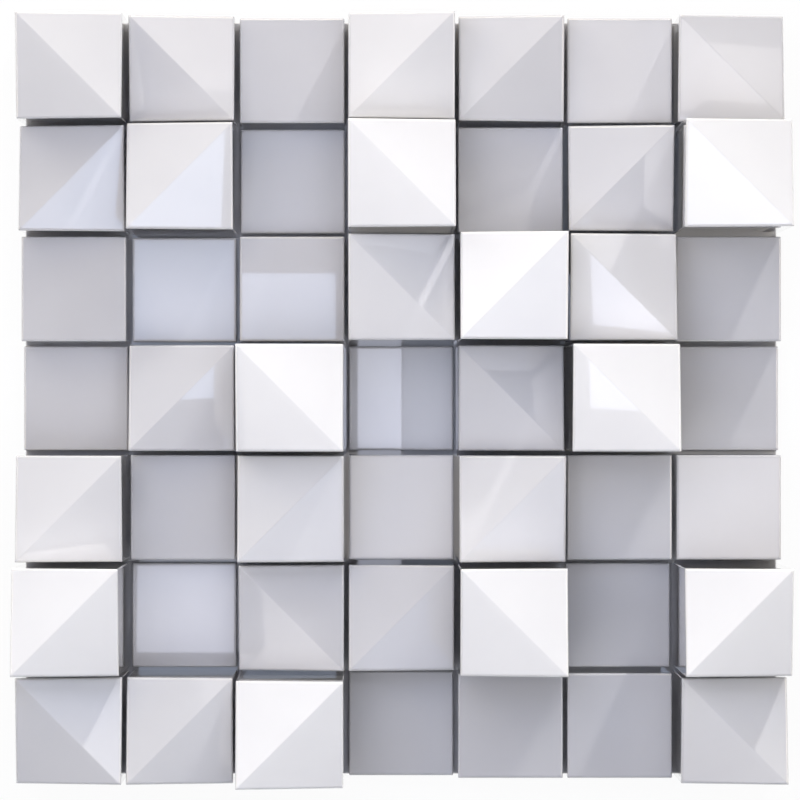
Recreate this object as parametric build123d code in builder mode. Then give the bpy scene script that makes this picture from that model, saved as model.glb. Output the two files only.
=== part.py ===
"""Acoustic scattering panel: a square moulded tile of blocks of stepped heights on one common back plate.

The panel lies on its flat back, with the blocks standing up. X runs to the right and Y up the pattern, as the panel
is seen from the front, and the origin is the middle of the back face.
"""
import os

from build123d import *

# Driving dimensions, in millimetres
PANEL_SIDE = 595.0
PLATE_THICKNESS = 10.0
GAP = 3.5
RIM_RADIUS = 2.0

# Heights above the front of the back plate: flat tops, and the ridges of the folded tops
LOW_FLAT = 16.0
HIGH_FLAT = 39.5
LOW_RIDGE = 68.0
MIDDLE_RIDGE = 99.0
HIGH_RIDGE = 140.0

# How far the two corners beside a ridge lie below it
FOLD_DROP = 13.5

# The pattern, seen from the front with its top row first. The digit is the height, from the lowest to the highest.
# The letter is the top: L is level, F is folded with a ridge that falls to the right, R with one that rises.
PATTERN = [
    "4F 3F 2L 4R 3R 2L 3F",
    "3R 4R 1L 5F 2L 3R 5F",
    "2L 1L 2L 4F 5R 4F 2L",
    "1L 3R 5F 1L 3F 5F 1L",
    "4R 2L 4R 2L 4R 2L 2L",
    "5R 1L 3F 3R 5F 1L 5R",
    "4F 4R 5R 1L 2L 2L 4F",
]
HEIGHTS = {"1": LOW_FLAT, "2": HIGH_FLAT, "3": LOW_RIDGE, "4": MIDDLE_RIDGE, "5": HIGH_RIDGE}

# Sizes that follow
BLOCKS_PER_SIDE = len(PATTERN)
BLOCK_SIDE = (PANEL_SIDE - (BLOCKS_PER_SIDE - 1) * GAP) / BLOCKS_PER_SIDE
PITCH = BLOCK_SIDE + GAP
FIRST_CENTRE = (BLOCK_SIDE - PANEL_SIDE) / 2


def block_places():
    """Centres of the blocks of each kind, such as all that the pattern calls 4F."""
    places = {}
    for row, line in enumerate(PATTERN):
        for column, kind in enumerate(line.split()):
            centre = (FIRST_CENTRE + column * PITCH, -FIRST_CENTRE - row * PITCH)
            places.setdefault(kind, []).append(centre)
    return places


def make_block(kind):
    """One block from the back face up, with its flat or folded top and the rounded rim around it."""
    height, fold = kind
    top = PLATE_THICKNESS + HEIGHTS[height]
    with BuildPart() as block:
        with BuildSketch():
            Rectangle(BLOCK_SIDE, BLOCK_SIDE)
        extrude(amount=top)
        if fold != "L":
            lean = 1 if fold == "F" else -1
            for side in (1, -1):
                slope = (side * FOLD_DROP, side * lean * FOLD_DROP, BLOCK_SIDE)
                split(bisect_by=Plane(origin=(0, 0, top), z_dir=slope), keep=Keep.BOTTOM)
        walls = block.faces().filter_by(lambda face: abs(face.normal_at().Z) < 0.001)
        rim = [wall.edges().sort_by(Axis.Z)[-1] for wall in walls]
        fillet(rim, radius=RIM_RADIUS)
    return block.part


with BuildPart() as panel:
    with BuildSketch():
        Rectangle(PANEL_SIDE, PANEL_SIDE)
    extrude(amount=PLATE_THICKNESS)
    for kind, centres in block_places().items():
        block = make_block(kind)
        with Locations(*centres):
            add(block)
panel.part.label = "scattering_panel"

os.makedirs("parts", exist_ok=True)
export_step(panel.part, "parts/scattering_panel.step")
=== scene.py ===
import math

import bmesh
import bpy
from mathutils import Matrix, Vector


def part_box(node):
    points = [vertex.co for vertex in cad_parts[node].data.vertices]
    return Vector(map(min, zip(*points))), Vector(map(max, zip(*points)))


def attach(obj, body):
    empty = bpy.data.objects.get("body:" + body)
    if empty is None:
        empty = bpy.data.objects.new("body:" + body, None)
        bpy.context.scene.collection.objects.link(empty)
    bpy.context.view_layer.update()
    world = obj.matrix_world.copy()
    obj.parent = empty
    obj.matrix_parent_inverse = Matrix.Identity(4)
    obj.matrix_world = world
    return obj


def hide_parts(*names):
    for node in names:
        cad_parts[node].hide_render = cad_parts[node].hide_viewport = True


# %% [markdown]
# This panel scatters sound. It is one moulding of light foam: a square back plate with seven rows of seven
# blocks, which stand at five heights, some with a level top and some folded along a diagonal. All of it
# wears a gloss white lacquer. The CAD model holds the sizes. It is loaded first, and everything below is
# built in its frame, in metres.

# %% Load the panel
MM = 0.001
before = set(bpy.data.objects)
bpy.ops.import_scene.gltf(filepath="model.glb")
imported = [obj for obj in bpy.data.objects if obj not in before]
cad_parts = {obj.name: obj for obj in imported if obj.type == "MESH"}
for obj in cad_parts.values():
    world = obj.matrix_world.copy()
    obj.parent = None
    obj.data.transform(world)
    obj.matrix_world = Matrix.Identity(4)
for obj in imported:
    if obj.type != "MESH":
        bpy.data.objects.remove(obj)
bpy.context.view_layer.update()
low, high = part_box("scattering_panel")
print("CAD panel in mm:", [round(size / MM, 1) for size in high - low])

# %% [markdown]
# The camera comes next, because each finish is judged through it. It looks straight down on the panel from
# about three metres, with its foot a little off the middle, so the walls of the outer blocks lean away
# from that foot. The pixel values were measured on the photograph: the foot, where all uprights run
# together, the middle of the plate and its width. The distance is what makes one block's mirror image in
# the next one's slope come out at its right place. A lens shift keeps the view square to the panel, where
# turning the camera would make the outline a trapezium.

# %% Set the camera
IMAGE_SIDE = 800
SENSOR_WIDTH = 36.0
PLATE_THICKNESS = 10.0 * MM
FOOT_PIXEL = Vector((381.6, 413.5))
MIDDLE_PIXEL = Vector((401.03, 398.33))
PANEL_PIXELS = 750.6
DISTANCE_PIXELS = 4020.0
pixel = (high.x - low.x) / PANEL_PIXELS

lens = bpy.data.cameras.new("photo_camera")
lens.sensor_width = SENSOR_WIDTH
lens.lens = DISTANCE_PIXELS * SENSOR_WIDTH / IMAGE_SIDE
lens.shift_x = (IMAGE_SIDE / 2 - FOOT_PIXEL.x) / IMAGE_SIDE
lens.shift_y = (FOOT_PIXEL.y - IMAGE_SIDE / 2) / IMAGE_SIDE
camera = bpy.data.objects.new("photo_camera", lens)
bpy.context.scene.collection.objects.link(camera)
foot = (FOOT_PIXEL - MIDDLE_PIXEL) * pixel
camera.location = (foot.x, -foot.y, PLATE_THICKNESS + DISTANCE_PIXELS * pixel)
bpy.context.scene.camera = camera
print("camera at", [round(v, 3) for v in camera.location], "with a lens of", round(lens.lens, 1), "mm")

# %% [markdown]
# The real moulding has soft edges everywhere: a rim of two millimetres round each top, and a finer
# rounding along the ridges and down the corners. Those edges catch the light as thin bright lines, so the
# panel is modelled once more with clean bevels and stands for the CAD solid. It starts as the back plate.
# Bisecting it along the sides of all the blocks gives a grid in which every block has a face of its own,
# and no loose pieces have to be joined later.

# %% Cut the back plate into a grid
GAP = 3.5 * MM
BLOCKS_PER_SIDE = 7
block_side = (high.x - low.x - (BLOCKS_PER_SIDE - 1) * GAP) / BLOCKS_PER_SIDE
pitch = block_side + GAP

bpy.ops.object.select_all(action="DESELECT")
plate_size = (high.x - low.x, high.y - low.y, PLATE_THICKNESS)
bpy.ops.mesh.primitive_cube_add(size=1, location=(0, 0, PLATE_THICKNESS / 2), scale=plate_size)
panel = bpy.context.object
panel.name = "moulded_panel"
bpy.ops.object.transform_apply(location=True, rotation=False, scale=True)
bpy.ops.object.mode_set(mode="EDIT")
for number in range(1, BLOCKS_PER_SIDE):
    for cut in (low.x + number * pitch - GAP, low.x + number * pitch):
        for across in ((1, 0, 0), (0, 1, 0)):
            bpy.ops.mesh.select_all(action="SELECT")
            bpy.ops.mesh.bisect(plane_co=Vector(across) * cut, plane_no=across)
bpy.ops.object.mode_set(mode="OBJECT")
print("grid of", len(panel.data.polygons), "faces, block side in mm:", round(block_side / MM, 2))

# %% [markdown]
# Each block is now one face of the plate, pulled up to its height with an extrude. The pattern is written
# as it is seen from the front, top row first: the digit is the height step, and the letter is the top. L
# is level, F is folded along a ridge that falls to the right, and R along one that rises to the right. All
# blocks of one height go up together.

# %% Pull up the blocks
PATTERN = [
    "4F 3F 2L 4R 3R 2L 3F",
    "3R 4R 1L 5F 2L 3R 5F",
    "2L 1L 2L 4F 5R 4F 2L",
    "1L 3R 5F 1L 3F 5F 1L",
    "4R 2L 4R 2L 4R 2L 2L",
    "5R 1L 3F 3R 5F 1L 5R",
    "4F 4R 5R 1L 2L 2L 4F",
]
HEIGHTS = {"1": 16.0 * MM, "2": 39.5 * MM, "3": 68.0 * MM, "4": 99.0 * MM, "5": 140.0 * MM}
MIDDLE_TOLERANCE = 0.01
LOOKS_UP = 0.9


def kind_at(point):
    """The pattern's word for the block whose middle is at this point, or None beside the middles."""
    column = (point.x - low.x - block_side / 2) / pitch
    row = (high.y - point.y - block_side / 2) / pitch
    if abs(column - round(column)) + abs(row - round(row)) > MIDDLE_TOLERANCE:
        return None
    return PATTERN[round(row)].split()[round(column)]


def select_faces(wanted):
    """Selects the faces of the panel for which wanted(face) is true, and gives their number."""
    bpy.ops.mesh.select_mode(type="FACE")
    bpy.ops.mesh.select_all(action="DESELECT")
    mesh = bmesh.from_edit_mesh(panel.data)
    chosen = [face for face in mesh.faces if wanted(face)]
    for face in chosen:
        face.select_set(True)
    bmesh.update_edit_mesh(panel.data)
    return len(chosen)


def is_block_top(face):
    """Whether a face looks up and has a block's middle as its own."""
    return face.normal.z > LOOKS_UP and kind_at(face.calc_center_median()) is not None


bpy.ops.object.mode_set(mode="EDIT")
for step, height in HEIGHTS.items():
    found = select_faces(lambda face: is_block_top(face) and kind_at(face.calc_center_median())[0] == step)
    bpy.ops.mesh.extrude_region_move(TRANSFORM_OT_translate={"value": (0, 0, height)})
    print(found, "blocks of", round(height / MM, 1), "mm")
select_faces(lambda face: face.normal.z < -LOOKS_UP)
bpy.ops.mesh.dissolve_faces()
bpy.ops.object.mode_set(mode="OBJECT")

# %% [markdown]
# A folded top is a square with an edge from corner to corner and the other two corners let down.
# Connecting the two ridge corners splits the square, and moving the other two down leaves a pair of flat
# triangles. Flat matters here: on a gloss finish the slightest twist in a face would bend its reflections.

# %% Fold the tops
FOLD_DROP = 13.5 * MM


def select_corners(on_ridge):
    """Selects the corners of the folded tops that lie on the ridge, or those beside it."""
    bpy.ops.mesh.select_mode(type="VERT")
    bpy.ops.mesh.select_all(action="DESELECT")
    mesh = bmesh.from_edit_mesh(panel.data)
    chosen = set()
    for face in mesh.faces:
        across = [vert.co.x for vert in face.verts]
        along = [vert.co.y for vert in face.verts]
        middle = Vector((min(across) + max(across), min(along) + max(along))) / 2
        kind = kind_at(middle) if face.normal.z > LOOKS_UP else None
        if kind is None or kind[1] == "L":
            continue
        lean = 1 if kind[1] == "R" else -1
        for vert in face.verts:
            rises = (vert.co.x - middle.x) * (vert.co.y - middle.y) * lean > 0
            if rises == on_ridge:
                chosen.add(vert)
    for vert in chosen:
        vert.select_set(True)
    bmesh.update_edit_mesh(panel.data)
    return len(chosen)


bpy.ops.object.mode_set(mode="EDIT")
lowered = select_corners(on_ridge=False)
ridge_corners = select_corners(on_ridge=True)
bpy.ops.mesh.vert_connect()
select_corners(on_ridge=False)
bpy.ops.transform.translate(value=(0, 0, -FOLD_DROP))
bpy.ops.object.mode_set(mode="OBJECT")
print(ridge_corners // 2, "folded tops,", lowered, "corners let down")

# %% [markdown]
# Now the edges. A Bevel modifier that goes by edge weight rounds them all in one pass, so the different
# widths meet cleanly at the corners: full width on the rims of the tops, and a small share of it on the
# ridges, on the upright corners and round the back. Hardened normals keep the big faces truly flat next to
# their rounded edges. The inner corners between the blocks and the plate stay sharp, as a mould leaves
# them.

# %% Round the edges
RIM_RADIUS = 2.0 * MM
RIM_STEPS = 4
FINE_SHARE = 0.35
FULL_SHARE = 1.0
UPRIGHT = 0.1
SHARP_ABOVE = math.radians(15)


def weigh_edges(wanted, share):
    """Gives the edges for which wanted(edge) is true this share of the rim's width."""
    bpy.ops.mesh.select_mode(type="EDGE")
    bpy.ops.mesh.select_all(action="DESELECT")
    mesh = bmesh.from_edit_mesh(panel.data)
    chosen = [edge for edge in mesh.edges if len(edge.link_faces) == 2 and wanted(edge)]
    for edge in chosen:
        edge.select_set(True)
    bmesh.update_edit_mesh(panel.data)
    bpy.ops.transform.edge_bevelweight(value=share)
    return len(chosen)


def is_outer(edge):
    """Whether an edge stands out, and isn't flat or an inner corner."""
    return edge.is_convex and edge.calc_face_angle() > SHARP_ABOVE


def is_rim(edge):
    """Whether an edge joins the top of a block to one of its walls."""
    ups = sorted(abs(face.normal.z) for face in edge.link_faces)
    on_wall_and_top = ups[0] < UPRIGHT and ups[1] > LOOKS_UP
    highest = max(vert.co.z for vert in edge.verts)
    return is_outer(edge) and on_wall_and_top and highest > PLATE_THICKNESS + RIM_RADIUS


bpy.ops.object.shade_smooth_by_angle(angle=SHARP_ABOVE)
bpy.ops.object.mode_set(mode="EDIT")
fine = weigh_edges(lambda edge: is_outer(edge) and not is_rim(edge), FINE_SHARE)
rims = weigh_edges(is_rim, FULL_SHARE)
bpy.ops.object.mode_set(mode="OBJECT")
bpy.ops.object.modifier_add(type="BEVEL")
rounding = panel.modifiers[-1]
rounding.limit_method = "WEIGHT"
rounding.width = RIM_RADIUS
rounding.segments = RIM_STEPS
rounding.harden_normals = True
bpy.ops.object.modifier_apply(modifier=rounding.name)
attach(panel, "root")
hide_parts("scattering_panel")
print(rims, "rims and", fine, "fine edges rounded,", len(panel.data.polygons), "faces")

# %% [markdown]
# Materials are built from nodes. Two small helpers keep that readable: one turns a colour as it is written
# for screens into the linear values that Blender mixes light with, and the other adds a node, sets it up
# and links it. A Mix node has its colour inputs and its colour output at fixed places, which are named
# here.

# %% Helpers for colours and nodes
WHITE = "#ffffff"
FIRST_COLOUR = 6
SECOND_COLOUR = 7
MIXED_COLOUR = 2


def linear(hex_colour):
    """A colour as written on screen, turned into the linear values that Blender works with."""
    channels = [int(hex_colour[i:i + 2], 16) / 255 for i in (1, 3, 5)]
    return tuple(c / 12.92 if c <= 0.04045 else ((c + 0.055) / 1.055) ** 2.4 for c in channels) + (1.0,)


def add_node(tree, kind, sources=(), **settings):
    """Adds a node, sets its properties, and links or sets each input that is named."""
    node = tree.nodes.new(kind)
    for name, value in settings.items():
        setattr(node, name, value)
    for socket, source in sources:
        if isinstance(source, bpy.types.NodeSocket):
            tree.links.new(source, node.inputs[socket])
        else:
            node.inputs[socket].default_value = source
    return node


print("white in linear values:", linear(WHITE))

# %% [markdown]
# The finish is a white polyurethane lacquer, sprayed from the front and polished. Its colour is mixed by
# height, and that grading is painted shade: white on the tall blocks, and a little grey down in the wells,
# where the tall blocks shade them. A faint cloudiness, some centimetres across, breaks up the even white,
# and the polish is a touch uneven. The gloss is nearly that of glass, because the tops mirror what hangs
# above them with crisp edges. That is why there is no bump, which would blur them. It has two layers, the
# lacquer and a clear top layer over it, and both have an IOR of 1.6, that of a hard gloss varnish. A
# specular level of 1 doubles what the lacquer itself throws back, so the mirror images stand out without
# very bright windows.

# %% Gloss white lacquer
# The lacquer's white for the tall tops, and below it a grey that is painted shade for the low wells.
LACQUER_WHITE = "#f2f1ee"
PAINTED_SHADE_GREY = "#cecdce"
LACQUER_CLOUD = "#f8f8f9"
PAINTED_SHADE_BELOW = 60 * MM
FULL_WHITE_ABOVE = 150 * MM
CLOUD_SIZE = 45 * MM
POLISH_SIZE = 12 * MM
SHADE_FADE_POWER = 1.3
NOISE_DETAIL = 2.0
LACQUER_IOR = 1.6
LACQUER_REFLECTION = 1.0
COAT_WEIGHT = 1.0
COAT_ROUGHNESS = 0.01
BEST_POLISH = 0.008
LEAST_POLISH = 0.02

lacquer = bpy.data.materials.new("gloss_white_lacquer")
lacquer.use_nodes = True
tree = lacquer.node_tree
shader = tree.nodes["Principled BSDF"]
shader.inputs["IOR"].default_value = LACQUER_IOR
shader.inputs["Specular IOR Level"].default_value = LACQUER_REFLECTION
shader.inputs["Coat Weight"].default_value = COAT_WEIGHT
shader.inputs["Coat IOR"].default_value = LACQUER_IOR
shader.inputs["Coat Roughness"].default_value = COAT_ROUGHNESS
place = add_node(tree, "ShaderNodeTexCoord").outputs["Object"]
height = add_node(tree, "ShaderNodeSeparateXYZ", [(0, place)]).outputs["Z"]
# Painted shade: the colour turns greyer towards the bottom and is darkest down in the wells, where the
# tall blocks shade them.
height_share = add_node(tree, "ShaderNodeMapRange", [("Value", height), ("From Min", PAINTED_SHADE_BELOW),
                                              ("From Max", FULL_WHITE_ABOVE)])
unshaded_share = add_node(tree, "ShaderNodeMath", [(0, height_share.outputs[0]), (1, SHADE_FADE_POWER)], operation="POWER")
painted_height_shade = add_node(tree, "ShaderNodeMix", [("Factor", unshaded_share.outputs[0]), (FIRST_COLOUR, linear(PAINTED_SHADE_GREY)),
                                        (SECOND_COLOUR, linear(LACQUER_WHITE))], data_type="RGBA")
clouds = add_node(tree, "ShaderNodeTexNoise", [("Vector", place), ("Scale", 1 / CLOUD_SIZE),
                                            ("Detail", NOISE_DETAIL)])
cloudy = add_node(tree, "ShaderNodeMix", [("Factor", clouds.outputs[0]), (FIRST_COLOUR, linear(WHITE)),
                                          (SECOND_COLOUR, linear(LACQUER_CLOUD))], data_type="RGBA")
colour = add_node(tree, "ShaderNodeMix", [("Factor", 1.0), (FIRST_COLOUR, painted_height_shade.outputs[MIXED_COLOUR]),
                                          (SECOND_COLOUR, cloudy.outputs[MIXED_COLOUR])],
                  data_type="RGBA", blend_type="MULTIPLY")
tree.links.new(colour.outputs[MIXED_COLOUR], shader.inputs["Base Color"])
polish = add_node(tree, "ShaderNodeTexNoise", [("Vector", place), ("Scale", 1 / POLISH_SIZE),
                                            ("Detail", NOISE_DETAIL)])
gloss = add_node(tree, "ShaderNodeMapRange", [("Value", polish.outputs[0]), ("To Min", BEST_POLISH),
                                              ("To Max", LEAST_POLISH)])
tree.links.new(gloss.outputs[0], shader.inputs["Roughness"])
panel.data.materials.append(lacquer)
print("lacquer with", len(tree.nodes), "nodes on", panel.name)

# %% [markdown]
# The light is that of a white room. A small lamp far off at the upper right, low over the panel, draws the
# crisp streaks that run down and to the left between the blocks, and a weaker one above it reaches deeper
# wells. They stand nine metres away, so that all streaks run alike. Large round lamps nearer by add the
# soft shading: warm ones low at the sides, and cooler ones overhead. The overhead ones are kept out of
# reflections, because the tops would show them as discs. Together they give about the light at which a
# colour renders as written.

# %% Lamps
AIM = Vector((0, 0, 0.05))
SOFT_DISTANCE = 1.8
SOFT_SIZE = 1.1
SMALL_DISTANCE = 9.0
SMALL_SIZE = 0.36
ROOM_WHITE = "#f4f6ff"
ROOM_STRENGTH = 0.02

world = bpy.data.worlds.new("room")
bpy.context.scene.world = world
world.use_nodes = True
sky = world.node_tree.nodes["Background"]
sky.inputs["Color"].default_value = linear(ROOM_WHITE)
sky.inputs["Strength"].default_value = ROOM_STRENGTH


def add_lamp(name, azimuth, elevation, power, colour,
             size=SOFT_SIZE, distance=SOFT_DISTANCE, mirrored=True):
    """A round lamp that faces the panel from a compass direction, counted from +X towards +Y."""
    light = bpy.data.lights.new(name, "AREA")
    light.shape = "DISK"
    light.size = size
    light.energy = power
    light.color = linear(colour)[:3]
    lamp = bpy.data.objects.new(name, light)
    bpy.context.scene.collection.objects.link(lamp)
    turn, tilt = math.radians(azimuth), math.radians(elevation)
    way = Vector((math.cos(tilt) * math.cos(turn), math.cos(tilt) * math.sin(turn), math.sin(tilt)))
    lamp.location = AIM + way * distance
    lamp.rotation_euler = way.to_track_quat("Z", "Y").to_euler()
    lamp.visible_glossy = mirrored


NEUTRAL = "#fffdf8"
WARM = "#fff2dc"
COOL = "#f5f7ff"
COLD = "#d4deff"
add_lamp("streak_lamp", 63.4, 13.5, 320, NEUTRAL, SMALL_SIZE, SMALL_DISTANCE)
add_lamp("upper_streak_lamp", 64, 23, 80, COOL, SMALL_SIZE, SMALL_DISTANCE)
add_lamp("low_upper_left", 135, 12, 9.0, NEUTRAL)
add_lamp("right", 0, 30, 5.4, WARM)
add_lamp("left", 180, 30, 3.7, WARM)
add_lamp("upper", 90, 30, 6.8, WARM)
add_lamp("over_upper_left", 135, 50, 5.6, WARM, mirrored=False)
add_lamp("over_right", 0, 70, 5.8, COOL, mirrored=False)
add_lamp("over_left", 180, 70, 7.3, COLD, mirrored=False)
add_lamp("over_lower", 270, 70, 9.6, COOL, mirrored=False)
add_lamp("over_upper", 90, 70, 6.8, COLD, mirrored=False)
print("lamps:", [lamp.name for lamp in bpy.data.lights])

# %% [markdown]
# High windows give a gloss surface something to mirror. Each is a bright rectangle far above the panel. To
# place one, a sight line is followed from the camera through a pixel, mirrored on the top that it meets,
# and carried on up to the height of the windows. So the pixel values below say where in the picture a
# window shows (left, upper, right and lower edge), and the rest is worked out. Two windows hang a little
# lower, in front of the wide one: where two lie in one plane, a mirror image shows only one of them.

# %% Windows
WINDOW_HEIGHT = 6.0
FRONT_HEIGHT = 5.9
fold_slope = FOLD_DROP / block_side
FACING = {
    "level": (0, 0),
    "upper_right": (1, 1),
    "upper_left": (-1, 1),
    "lower_left": (-1, -1),
    "lower_right": (1, -1),
}


def mirrored_place(x, y, top, facing, height):
    """Where the view through a pixel gets to, at this height, once a block top has mirrored it."""
    plate_point = Vector(((x - MIDDLE_PIXEL.x) * pixel, -(y - MIDDLE_PIXEL.y) * pixel, PLATE_THICKNESS))
    ray = plate_point - camera.location
    point = camera.location + ray * ((camera.location.z - top) / -ray.z)
    across, up = FACING[facing]
    ray = ray.reflect(Vector((across * fold_slope, up * fold_slope, 1)).normalized())
    return point + ray * ((height - top) / ray.z)


def add_window(name, pixels, top, facing, radiance, colour, height=WINDOW_HEIGHT):
    """A bright rectangle high above, which the tops that face this way mirror at these pixels."""
    left, upper, right, lower = pixels
    a = mirrored_place(left, upper, top, facing, height)
    b = mirrored_place(right, lower, top, facing, height)
    light = bpy.data.lights.new(name, "AREA")
    light.shape = "RECTANGLE"
    light.size = abs(b.x - a.x)
    light.size_y = abs(b.y - a.y)
    light.energy = radiance * math.pi * light.size * light.size_y
    light.color = linear(colour)[:3]
    window = bpy.data.objects.new(name, light)
    bpy.context.scene.collection.objects.link(window)
    window.location = (a + b) / 2
    print(name, "is", round(light.size, 2), "by", round(light.size_y, 2), "m")


LOW_TOP = PLATE_THICKNESS + HEIGHTS["1"]
STEP_TOP = PLATE_THICKNESS + HEIGHTS["2"]
SLOPE_TOP = PLATE_THICKNESS + HEIGHTS["4"]
SKY_BLUE = "#d3e2ff"
SKY_PALE = "#e6ebff"
SKY_WARM = "#fff9f4"
WELL_PIXELS = (131, 234, 238, 345)
STEP_PIXELS = (242.5, 273.3, 335.5, 345)
STRIP_PIXELS = (357.7, 340, 401.5, 455)
STRIP_SIDE_PIXELS = (403.5, 340, 456, 455)
UPPER_WELL_PIXELS = (240, 125, 346, 233)
LOWER_WELL_PIXELS = (131, 560, 238, 652.5)
MIDDLE_PIXELS = (346, 453, 456, 560)
RIGHT_PIXELS = (676, 452, 784, 560)
TOP_PIXELS = (567, 0, 676, 122)
LEFT_SLOPE_PIXELS = (0, 100, 217.5, 402.5)
MIDDLE_SLOPE_PIXELS = (235, 230, 575, 668)
RIGHT_SLOPE_PIXELS = (587, 118, 810, 411)
WIDE_SLOPE_PIXELS = (230, 0, 810, 790)
TOP_RIGHT_SLOPE_PIXELS = (676, 0, 810, 117)
UPPER_SLOPE_PIXELS = (235, 0, 810, 790)
TOP_SLOPE_PIXELS = (125, 0, 810, 117)
CORNER_SLOPE_PIXELS = (0, 668, 140, 800)
add_window("well_window", WELL_PIXELS, LOW_TOP, "level", 1.2, SKY_BLUE)
add_window("step_window", STEP_PIXELS, STEP_TOP, "level", 1.3, SKY_BLUE)
add_window("strip_window", STRIP_PIXELS, LOW_TOP, "level", 1.75, SKY_PALE)
add_window("strip_side_window", STRIP_SIDE_PIXELS, LOW_TOP, "level", 0.4, SKY_BLUE)
add_window("upper_well_window", UPPER_WELL_PIXELS, LOW_TOP, "level", 0.3, SKY_BLUE)
add_window("lower_well_window", LOWER_WELL_PIXELS, LOW_TOP, "level", 1.3, SKY_PALE)
add_window("middle_window", MIDDLE_PIXELS, STEP_TOP, "level", 0.95, SKY_WARM)
add_window("right_window", RIGHT_PIXELS, STEP_TOP, "level", 0.95, SKY_WARM)
add_window("top_window", TOP_PIXELS, STEP_TOP, "level", 0.45, SKY_WARM)
add_window("left_slope_window", LEFT_SLOPE_PIXELS, SLOPE_TOP, "lower_right", 1.3, SKY_BLUE)
add_window("middle_slope_window", MIDDLE_SLOPE_PIXELS, SLOPE_TOP, "lower_right", 0.63, SKY_PALE)
add_window("right_slope_window", RIGHT_SLOPE_PIXELS, SLOPE_TOP, "lower_left", 1.12, SKY_PALE, FRONT_HEIGHT)
add_window("wide_slope_window", WIDE_SLOPE_PIXELS, SLOPE_TOP, "lower_left", 0.46, SKY_WARM)
add_window("top_right_slope_window", TOP_RIGHT_SLOPE_PIXELS, SLOPE_TOP, "lower_left", 0.68, SKY_WARM,
           FRONT_HEIGHT)
add_window("upper_slope_window", UPPER_SLOPE_PIXELS, SLOPE_TOP, "upper_left", 0.28, SKY_WARM)
add_window("top_slope_window", TOP_SLOPE_PIXELS, SLOPE_TOP, "upper_right", 0.5, SKY_WARM)
add_window("corner_slope_window", CORNER_SLOPE_PIXELS, SLOPE_TOP, "upper_right", 0.46, SKY_BLUE)

# %% [markdown]
# The floor is white paper. The ground of the picture is pure white, so the paper glows by itself for the
# camera and for reflections, which is what the Light Path node tells apart. A small share of plain diffuse
# white stays in the mix, and with it the panel keeps its shadow.

# %% Floor
FLOOR_SIDE = 8.0
GLOW_SHARE = 0.93
GLOW_STRENGTH = 1.0
PAPER_WHITE = "#f2f2f2"

bpy.ops.object.select_all(action="DESELECT")
bpy.ops.mesh.primitive_plane_add(size=FLOOR_SIDE, location=(0, 0, 0))
floor = bpy.context.object
floor.name = "floor"
paper = bpy.data.materials.new("white_paper")
paper.use_nodes = True
tree = paper.node_tree
tree.nodes.clear()
path = add_node(tree, "ShaderNodeLightPath")
seen = add_node(tree, "ShaderNodeMath", [(0, path.outputs["Is Camera Ray"]),
                                         (1, path.outputs["Is Glossy Ray"])], operation="ADD")
seen = add_node(tree, "ShaderNodeMath", [(0, seen.outputs[0]), (1, path.outputs["Is Transmission Ray"])],
                operation="ADD", use_clamp=True)
share = add_node(tree, "ShaderNodeMath", [(0, seen.outputs[0]), (1, GLOW_SHARE)], operation="MULTIPLY")
matt = add_node(tree, "ShaderNodeBsdfDiffuse", [("Color", linear(PAPER_WHITE))])
glow = add_node(tree, "ShaderNodeEmission", [("Color", linear(WHITE)), ("Strength", GLOW_STRENGTH)])
blend = add_node(tree, "ShaderNodeMixShader", [(0, share.outputs[0]), (1, matt.outputs[0]),
                                               (2, glow.outputs[0])])
add_node(tree, "ShaderNodeOutputMaterial", [("Surface", blend.outputs[0])])
floor.data.materials.append(paper)
bpy.context.scene.view_settings.view_transform = "Standard"
print("floor of", FLOOR_SIDE, "m")
